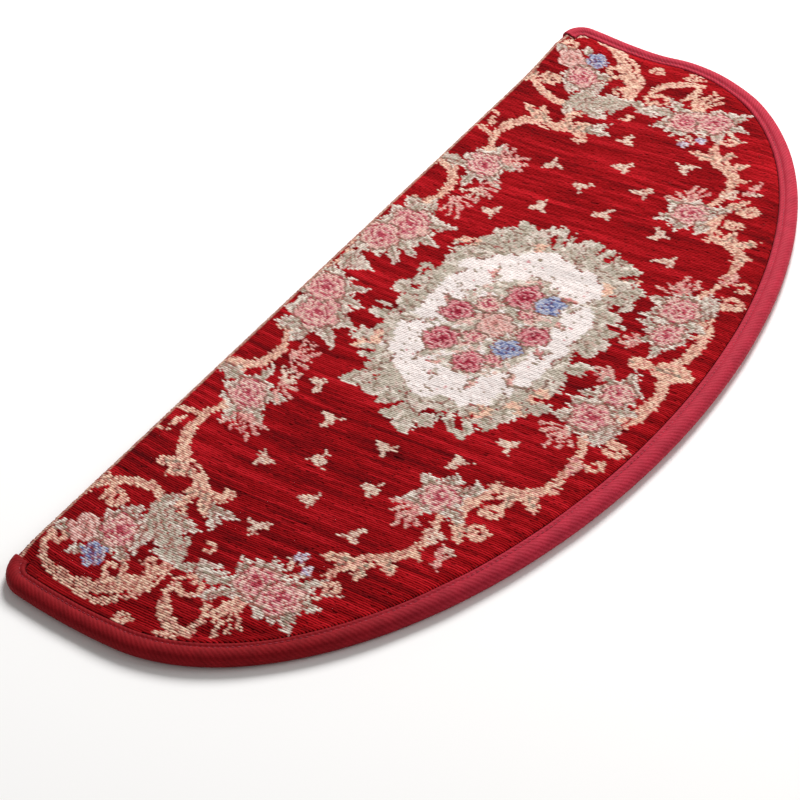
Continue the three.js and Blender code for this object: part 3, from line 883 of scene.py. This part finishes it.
class StageSettings(bpy.types.PropertyGroup):
    floor_colour: colour_setting("Floor", "Colour of the plain floor", "FAF9F8")
    key_power: FloatProperty(
        name="Key light", description="Power of the large soft light", default=80.0, min=0, unit="POWER")
    fill_strength: FloatProperty(
        name="Fill light", description="Strength of the even light from all round", default=0.30, min=0)


def chenille_finish():
    """Polyester chenille yarn: cut pile in a core thread, so matt, velvety and a little lighter edge on."""
    material, tree = new_material("chenille yarn")
    yarn = add_node(tree, "VertexColor", {"layer_name": "yarn"})
    place = add_node(tree, "TexCoord", {}).outputs["Object"]
    # Pile fibres lie in tufts about 0.5 mm across.
    tufts = add_node(tree, "TexNoise", {"Scale": 1900.0, "Detail": 2.0, "Roughness": 0.6, "Vector": place})
    depth = add_node(tree, "MapRange", {0: tufts, 1: 0.3, 2: 0.7, 3: 0.80, 4: 1.16})
    close_material(tree, yarn, depth, tufts, (0.55, 0.00035), {
        "Roughness": 0.9, "Specular IOR Level": 0.04, "Sheen Weight": 0.02, "Sheen Roughness": 0.5,
        "Sheen Tint": (1.0, 0.45, 0.42, 1.0)})
    return material


def ground_finish(settings):
    """Cotton and polyester ground cloth: plain weave on the underside, hidden under the pile on top."""
    material, tree = new_material("woven ground cloth")
    place = add_node(tree, "TexCoord", {}).outputs["Object"]
    parts = add_node(tree, "SeparateXYZ", {0: place}).outputs
    # A plain weave with a thread each 1.6 mm both ways: the product of two sines.
    turns = [add_node(tree, "Math", {"operation": "MULTIPLY", 0: part, 1: 2 * math.pi / 0.0032})
             for part in parts[:2]]
    lines = [add_node(tree, "Math", {"operation": "SINE", 0: turn}) for turn in turns]
    weave = add_node(tree, "Math", {"operation": "MULTIPLY", 0: lines[0], 1: lines[1]})
    level = add_node(tree, "MapRange", {0: parts[2], 1: 0.0012, 2: 0.0014})
    under = add_node(tree, "MapRange", {0: weave, 1: -1.0, 2: 1.0, 3: 0.78, 4: 1.0})
    base = add_node(tree, "Mix", {
        "data_type": "RGBA", 0: level, 6: (*settings.backing_colour, 1), 7: (*settings.ground_colour, 1)})
    close_material(tree, base.outputs[2], under, weave, (0.5, 0.0004), {
        "Roughness": 0.95, "Specular IOR Level": 0.2})
    return material


def tape_finish(settings):
    """Polyester binding tape: a fine twill whose raised threads catch the light in slanting lines."""
    material, tree = new_material("twill binding tape")
    place = add_node(tree, "UVMap", {"uv_map": "tape"})
    # Twill lines about 2 mm apart, drawn coarser than the real ones so that they show.
    lines = add_node(tree, "TexWave", {
        "bands_direction": "DIAGONAL", "Scale": 0.20, "Distortion": 2.0, "Detail": 2.0, "Detail Scale": 2.0,
        "Vector": place})
    grain = add_node(tree, "TexNoise", {"Scale": 1.1, "Detail": 3.0, "Roughness": 0.7, "Vector": place})
    wear = add_node(tree, "TexNoise", {"Scale": 0.12, "Detail": 2.0, "Vector": place})
    mixed = add_node(tree, "Math", {"operation": "MULTIPLY_ADD", 0: lines.outputs[1], 1: 0.42, 2: grain})
    threads = add_node(tree, "MapRange", {0: mixed, 1: 0.35, 2: 0.95})
    # Painted highlight: the twill lines take the lighter colour.
    base = add_node(tree, "Mix", {
        "data_type": "RGBA", 0: threads, 6: (*settings.colour, 1), 7: (*settings.raised_thread_highlight, 1)})
    patchy = add_node(tree, "MapRange", {0: wear, 1: 0.3, 2: 0.7, 3: 0.88, 4: 1.10})
    coloured = add_node(tree, "Mix", {**MULTIPLY, 6: base.outputs[2], 7: patchy})
    # Painted shade: the tape is darkened to a duller red round the mat's left end, and grows lighter over the
    # next 160 mm.
    along = add_node(tree, "TexCoord", {}).outputs["Object"]
    across = add_node(tree, "SeparateXYZ", {0: along})
    out_of_left_shade = add_node(tree, "MapRange", {"interpolation_type": "SMOOTHSTEP", 0: across, 1: -0.30, 2: -0.14})
    left_end_shade = add_node(tree, "Mix", {"data_type": "RGBA", 0: out_of_left_shade, 6: (0.55, 0.24, 0.20, 1), 7: (1, 1, 1, 1)})
    close_material(tree, coloured.outputs[2], left_end_shade.outputs[2], mixed, (0.5, 0.0003), {
        "Roughness": 0.7, "Specular IOR Level": 0.08, "Sheen Weight": 0.10, "Sheen Roughness": 0.35,
        "Sheen Tint": (1.0, 0.42, 0.48, 1.0)})
    return material


def thread_finish(settings):
    """Spun polyester sewing thread: two plies that turn round each other, with a slight gloss."""
    material, tree = new_material("sewing thread")
    place = add_node(tree, "TexCoord", {}).outputs["Object"]
    wave = add_node(tree, "TexWave", {"bands_direction": "DIAGONAL", "Scale": 260.0, "Vector": place})
    plies = wave.outputs[1]
    shade = add_node(tree, "MapRange", {0: plies, 3: 0.75, 4: 1.15})
    close_material(tree, (*settings.thread_colour, 1), shade, plies, (0.4, 0.0002), {"Roughness": 0.55})
    return material


def floor_finish(settings):
    """Matt white paper sheet: even and dull, with the faintest clouding."""
    material, tree = new_material("pale studio floor")
    place = add_node(tree, "TexCoord", {}).outputs["Object"]
    cloud = add_node(tree, "TexNoise", {"Scale": 3.0, "Vector": place})
    shade = add_node(tree, "MapRange", {0: cloud, 3: 0.985, 4: 1.0})
    close_material(tree, (*settings.floor_colour, 1), shade, cloud, (0.02, 0.0002), {"Roughness": 0.9})
    return material


class STAIRMAT_OT_ground(bpy.types.Operator):
    """Ground cloth of the mat: the padded half oval that carries the pile"""

    bl_idname = "stairmat.ground"
    bl_label = "Make Ground Cloth"

    def execute(self, context):
        spots = outline_spots(10, 16, 320, 150)
        count = len(spots[0])
        bound_inset, bound_z, straight_inset, straight_z = GROUND_SECTION.T[:, :, None]
        inset = straight_inset + (bound_inset - straight_inset) * spots[3]
        height = straight_z + (bound_z - straight_z) * spots[3]
        x, y = outline(spots, inset)
        dip = np.where(height > 1.4, margin_dip(x, inset), 0)
        scales = np.linspace(1, 0, 13)[1:-1][:, None]
        middle_y, field_z = 5.0, height[-1].max()
        top, under = (
            lay(x[k] * scales, middle_y + (y[k] - middle_y) * scales, np.full((len(scales), count), z))
            for k, z in ((-1, field_z), (0, 0.0)))
        points = np.concatenate([part.reshape(-1, 3) for part in (under[::-1], lay(x, y, height - dip), top)])
        rows = len(points) // count
        middles = lay(np.zeros(2), np.full(2, middle_y), np.array((0.0, field_z)))
        faces = np.concatenate((
            ring_faces(rows, count),
            fan_faces(0, count, len(points), False),
            fan_faces((rows - 1) * count, count, len(points) + 1, True),
        ))
        material = ground_finish(context.scene.stair_mat)
        piece = mesh_piece("chenille_mat", np.concatenate((points, middles)), faces, material)
        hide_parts("mat_body")
        return {"FINISHED"}


class STAIRMAT_OT_rows(bpy.types.Operator):
    """Chenille weft rows: half-round yarns side by side, which carry the woven pattern"""

    bl_idname = "stairmat.rows"
    bl_label = "Make Weft Rows"

    def execute(self, context):
        settings = context.scene.stair_mat
        pitch, step = settings.row_pitch / MM, settings.station_step / MM
        x, first, length = weft_rows(pitch)
        counts = np.floor(length / step).astype(np.int64) + 1
        row = np.repeat(np.arange(len(x)), counts)
        starts = np.concatenate(([0], np.cumsum(counts)[:-1]))
        spot = np.arange(len(row)) - starts[row]
        travel = spot * (length / (counts - 1))[row]
        flat_x, flat_y = x[row], first[row] + travel
        station = np.round(flat_y / step).astype(np.int64)
        chart = weave_pattern(flat_x, flat_y, row, station)
        look = weft_floats(flat_x, flat_y, row, station, chart.kind)
        colour = station_colours(chart, look, flat_x, flat_y)
        y, z = row_path(flat_x, travel, first[row])
        ahead, behind = (np.stack(row_path(flat_x, travel + way, first[row]), 1) for way in (0.4, -0.4))
        slope = ahead - behind
        slope = slope / np.maximum(np.hypot(*slope.T), 1e-6)[:, None]
        at_end = (spot == 0) | (spot == counts[row] - 1)
        # Tufts swell and shrink by a few tenths of a millimetre, and a yarn sinks where the warp binds it.
        swell = 0.30 * (scatter(row, spot, 61) - 0.5) + 0.20 * (look.shade - 0.5)
        swell = swell - np.where(chart.kind == 0, 0.30, 0.20) * look.dip - 0.3 * at_end
        sway = 0.16 * (scatter(row, spot, 62) - 0.5)
        profile = np.array(YARN_SECTION)
        aside = profile[None, :, 0] + sway[:, None]
        above = (profile[None, :, 1] + np.where(np.abs(profile[:, 0]) < 0.7, 1, 0.35) * swell[:, None]
                 ) * settings.pile_lift
        points = lay(
            flat_x[:, None] + aside, y[:, None] - above * slope[:, 1:2], z[:, None] + above * slope[:, 0:1])
        wide = len(profile)
        # Between the rows the ground's red shows, painted in its darkest, shaded tone as the shade in the
        # grooves: a yarn's outer corners take an eighth to a quarter of it.
        groove = np.array((0.24, 0.03, 0.0, 0.03, 0.24)) * np.where(chart.kind == 0, 1.0, 0.5)[:, None]
        groove = groove[..., None]
        colours = colour[:, None, :] * (1 - groove) + to_linear(srgb_parts(GROUND[0])) * groove
        material = chenille_finish()
        cuts = np.linspace(0, len(x), ROW_BANDS + 1).astype(int)
        order = np.cumsum(counts)
        target = order[-1] * np.arange(1, ROW_BANDS) / ROW_BANDS
        cuts[1:-1] = np.searchsorted(order, target)
        for band in range(ROW_BANDS):
            begin, finish = starts[cuts[band]], (starts[cuts[band + 1]] if band < ROW_BANDS - 1 else len(row))
            here = np.arange(begin, finish)
            faces = yarn_faces(spot[here], counts[row[here]], wide)
            piece = mesh_piece(
                f"weft_rows_{band + 1}", points[here].reshape(-1, 3), faces, material)
            paint_points(piece.data, "yarn", colours[here].reshape(-1, 3))
        return {"FINISHED"}


# Relief of the tape in mm: the seam's place and spread, its puckers, slow swells, and drag lines, which
# are twice as deep round the left end
SEAM_INSET = 9.4
SEAM_SPREAD = 2.6
PUCKER_HEIGHT = 0.22
PUCKER_LENGTH = 2.3
TAPE_SWELL = 0.55
TAPE_SWELL_LENGTH = 24.0
DRAG_PITCH = 4.2
DRAG_DEPTH = 0.07


class STAIRMAT_OT_tape(bpy.types.Operator):
    """Binding tape: folded over the curved edge and sewn down, with a raised lip beside its stitch line"""

    bl_idname = "stairmat.tape"
    bl_label = "Make Binding Tape"

    def execute(self, context):
        spots = [part[:-1] for part in outline_spots(22, 52, 640, 1)]
        count = len(spots[0])
        section = TAPE_SECTION
        inset = np.repeat(section[:, 0:1], count, 1)
        x, y = outline(spots, inset)
        edge_x, edge_y = outline(spots, np.zeros((1, count)))
        run = run_along(np.stack((edge_x[0], edge_y[0]), 1))
        z = section[:, 1:2] + np.zeros((1, count))
        top = smooth((z - 5.5) / 2.5)
        # The lower edge and the inner face stay smooth.
        last_outer = len(TAPE_OUTSIDE) - 1
        place = np.arange(len(section))[:, None]
        outer = (place > 0) & (place <= last_outer)
        # Puckers beside the stitches, slow swells along the tape, and slanting drag lines on its side.
        near_seam = np.exp(-((inset - SEAM_INSET) / SEAM_SPREAD) ** 2)
        pucker = PUCKER_HEIGHT * (drift(run / PUCKER_LENGTH, run * 0, 71) - 0.5)
        swell = TAPE_SWELL * (drift(run / TAPE_SWELL_LENGTH, run * 0 + 5, 72) - 0.5)
        left = smooth((-x - 190) / 90)
        slant = np.sin((run + 1.1 * z) * 2 * np.pi / DRAG_PITCH + 3 * drift(run / 19.0, run * 0, 73))
        drag = DRAG_DEPTH * (1 + left) * slant * smooth((z - 0.8) / 2.5)
        lift = outer * (top * (pucker * near_seam + swell + 0.3 * drag))
        out = outer * smooth((z - 0.4) / 2.0) * smooth((4.5 - inset) / 4.5) * (0.6 * drag + 0.35 * swell)
        x, y = outline(spots, inset - out)
        points = lay(x, y, z + lift)
        count_rows = len(section)
        corners = ring_faces(count_rows, count, closed=False)
        first_row = np.arange(count - 1)
        last_row = (count_rows - 1) * count + first_row
        closing = np.stack((last_row, last_row + 1, first_row + 1, first_row), 1)
        # Each end is closed by a strip of faces, from each outer row to the inner row nearest to it.

        gap = section[:last_outer + 1, None] - section[None, last_outer + 1:]
        mate = last_outer + 1 + np.hypot(gap[..., 0], gap[..., 1]).argmin(1)
        strip = np.stack((np.arange(last_outer), np.arange(last_outer) + 1, mate[1:], mate[:-1]), 1) * count
        strip[mate[1:] == mate[:-1], 3] = -1
        far_end = np.where(strip < 0, -1, strip + count - 1)[:, (2, 1, 0, 3)]
        material = tape_finish(context.scene.stair_tape)
        faces = np.concatenate((corners, closing, strip, far_end))
        piece = mesh_piece("edge_tape", points.reshape(-1, 3), faces, material)
        places = np.stack(np.broadcast_arrays(run, run_along(section)[:, None]), 2)
        map_corners(piece.data, "tape", places.reshape(-1, 2))
        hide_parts("edge_binding")
        return {"FINISHED"}


# Stitches in mm: their inset and height in the groove, how far they bow up, the thread's radius, and
# the share of the pitch that shows; each is a tube of six sections with six sides.
STITCH_INSET = 9.0
STITCH_HEIGHT = 7.72
STITCH_BOW = 0.30
THREAD_RADIUS = 0.22
STITCH_SHARE = 0.82
STITCH_SIDES = 6


class STAIRMAT_OT_stitches(bpy.types.Operator):
    """Stitches: one short thread after the other in the groove of the tape"""

    bl_idname = "stairmat.stitches"
    bl_label = "Make Stitches"

    def execute(self, context):
        settings = context.scene.stair_tape
        spots = [part[:-1] for part in outline_spots(60, 160, 2400, 1)]
        x, y = outline(spots, np.full((1, len(spots[0])), STITCH_INSET))
        line = np.stack((x[0], y[0]), 1)
        run = run_along(line)
        pitch = settings.stitch_pitch / MM
        middles = np.arange(pitch, run[-1] - pitch, pitch)
        # Each stitch is a bowed tube: its height is a sine hump, its radius a rounded end.
        share = np.linspace(0, 1, STITCH_SIDES)
        at = middles[:, None] + (share - 0.5) * pitch * STITCH_SHARE
        behind, centre, ahead = (
            np.stack([np.interp(at + step, run, way) for way in line.T], -1) for step in (-0.5, 0, 0.5))
        tangent = ahead - behind
        tangent = tangent / np.hypot(tangent[..., 0], tangent[..., 1])[..., None]
        centre_z = STITCH_HEIGHT + STITCH_BOW * np.sin(share * np.pi) + 0 * at
        radius = THREAD_RADIUS * np.sqrt(np.clip(np.sin(np.pi * (0.04 + 0.92 * share)), 0, 1))
        turn = np.arange(STITCH_SIDES) * 2 * np.pi / STITCH_SIDES
        side = radius[:, None] * np.cos(turn)
        rise = radius[:, None] * np.sin(turn)
        points = lay(
            centre[..., 0:1] - tangent[..., 1:2] * side, centre[..., 1:2] + tangent[..., 0:1] * side,
            centre_z[..., None] + rise).reshape(-1, 3)
        tube = ring_faces(STITCH_SIDES, STITCH_SIDES)
        ends = np.array([(3, 2, 1, 0), (5, 4, 3, 0), (30, 31, 32, 33), (33, 34, 35, 30)])
        one = np.concatenate((tube, ends))
        faces = (one[None] + STITCH_SIDES ** 2 * np.arange(len(middles))[:, None, None]).reshape(-1, 4)
        mesh_piece("tape_stitches", points, faces, thread_finish(settings))
        return {"FINISHED"}


class STAIRMAT_OT_cloth_facts(bpy.types.Operator):
    """Cloth facts: looks up the tape, the stitches and the weft rows sewn to the mat, and does no more with
    them
    """

    bl_idname = "stairmat.cloth_facts"
    bl_label = "State Cloth Facts"

    def execute(self, context):
        objects = context.scene.objects
        on_it = [objects[name] for name in ("edge_tape", "tape_stitches")]
        on_it += [objects[f"weft_rows_{band + 1}"] for band in range(ROW_BANDS)]
        return {"FINISHED"}


Lamp = namedtuple("Lamp", "name place size share")
# Soft lights aimed at the mat: place and size in metres, and share of the key light's power.
LAMPS = (Lamp("key light", (1.8, 0.45, 1.7), 1.1, 1.0), Lamp("front light", (1.2, -1.9, 1.4), 1.4, 0.20))

FLOOR_REACH = 6.0


class STAIRMAT_OT_stage(bpy.types.Operator):
    """Stage: plain pale floor, soft lights and the camera at the photograph's angle"""

    bl_idname = "stairmat.stage"
    bl_label = "Make Stage"

    def execute(self, context):
        scene = context.scene
        settings = scene.stair_stage
        mesh = bpy.data.meshes.new("floor")
        corners = [(FLOOR_REACH * x, FLOOR_REACH * y, 0) for x, y in ((-1, -1), (1, -1), (1, 1), (-1, 1))]
        mesh.from_pydata(corners, [], [(0, 1, 2, 3)])
        mesh.materials.append(floor_finish(settings))
        floor = add_object("floor", mesh)
        camera = bpy.data.cameras.new("camera")
        camera.lens, camera.sensor_width = CAMERA_LENS, 36.0
        camera.clip_start, camera.clip_end = 0.01, 50.0
        holder = add_object("camera", camera)
        columns = (CAMERA_RIGHT, [-v for v in CAMERA_DOWN], [-v for v in CAMERA_FORWARD])
        turned = [[columns[k][row] for k in range(3)] + [CAMERA_PLACE[row]] for row in range(3)]
        holder.matrix_world = Matrix(turned + [[0, 0, 0, 1]])
        scene.camera = holder
        for name, place, size, share in LAMPS:
            lamp = bpy.data.lights.new(name, "AREA")
            lamp.shape, lamp.size, lamp.energy = "DISK", size, settings.key_power * share
            lamp_holder = add_object(name, lamp)
            lamp_holder.location = place
            lamp_holder.rotation_euler = (-Vector(place)).to_track_quat("-Z", "Y").to_euler()
        world = bpy.data.worlds.new("studio")
        world.use_nodes = True
        world.node_tree.nodes["Background"].inputs[0].default_value = (1.0, 0.985, 0.97, 1)
        world.node_tree.nodes["Background"].inputs[1].default_value = settings.fill_strength
        scene.world = world
        scene.view_settings.view_transform = "Standard"
        return {"FINISHED"}


class STAIRMAT_PT_panel(bpy.types.Panel):
    bl_idname = "STAIRMAT_PT_panel"
    bl_label = "Stair Tread Mat"
    bl_space_type = "VIEW_3D"
    bl_region_type = "UI"
    bl_category = "Stair Mat"

    def draw(self, context):
        groups = (
            (context.scene.stair_mat, ("stairmat.ground", "stairmat.rows")),
            (context.scene.stair_tape, ("stairmat.tape", "stairmat.stitches", "stairmat.cloth_facts")),
            (context.scene.stair_stage, ("stairmat.stage",)),
        )
        for settings, makers in groups:
            box = self.layout.box()
            for key in settings.__annotations__:
                box.prop(settings, key)
            for maker in makers:
                box.operator(maker)


CLASSES = (
    MatSettings, TapeSettings, StageSettings, STAIRMAT_OT_ground, STAIRMAT_OT_rows, STAIRMAT_OT_tape,
    STAIRMAT_OT_stitches, STAIRMAT_OT_cloth_facts, STAIRMAT_OT_stage, STAIRMAT_PT_panel,
)


def register():
    for made in CLASSES:
        bpy.utils.register_class(made)
    bpy.types.Scene.stair_mat = PointerProperty(type=MatSettings)
    bpy.types.Scene.stair_tape = PointerProperty(type=TapeSettings)
    bpy.types.Scene.stair_stage = PointerProperty(type=StageSettings)


def unregister():
    del bpy.types.Scene.stair_mat, bpy.types.Scene.stair_tape, bpy.types.Scene.stair_stage
    for made in reversed(CLASSES):
        bpy.utils.unregister_class(made)


def main():
    register()
    bpy.ops.stairmat.stage()
    bpy.ops.stairmat.ground()
    bpy.ops.stairmat.rows()
    bpy.ops.stairmat.tape()
    bpy.ops.stairmat.stitches()
    bpy.ops.stairmat.cloth_facts()


if __name__ == "__main__":
    main()
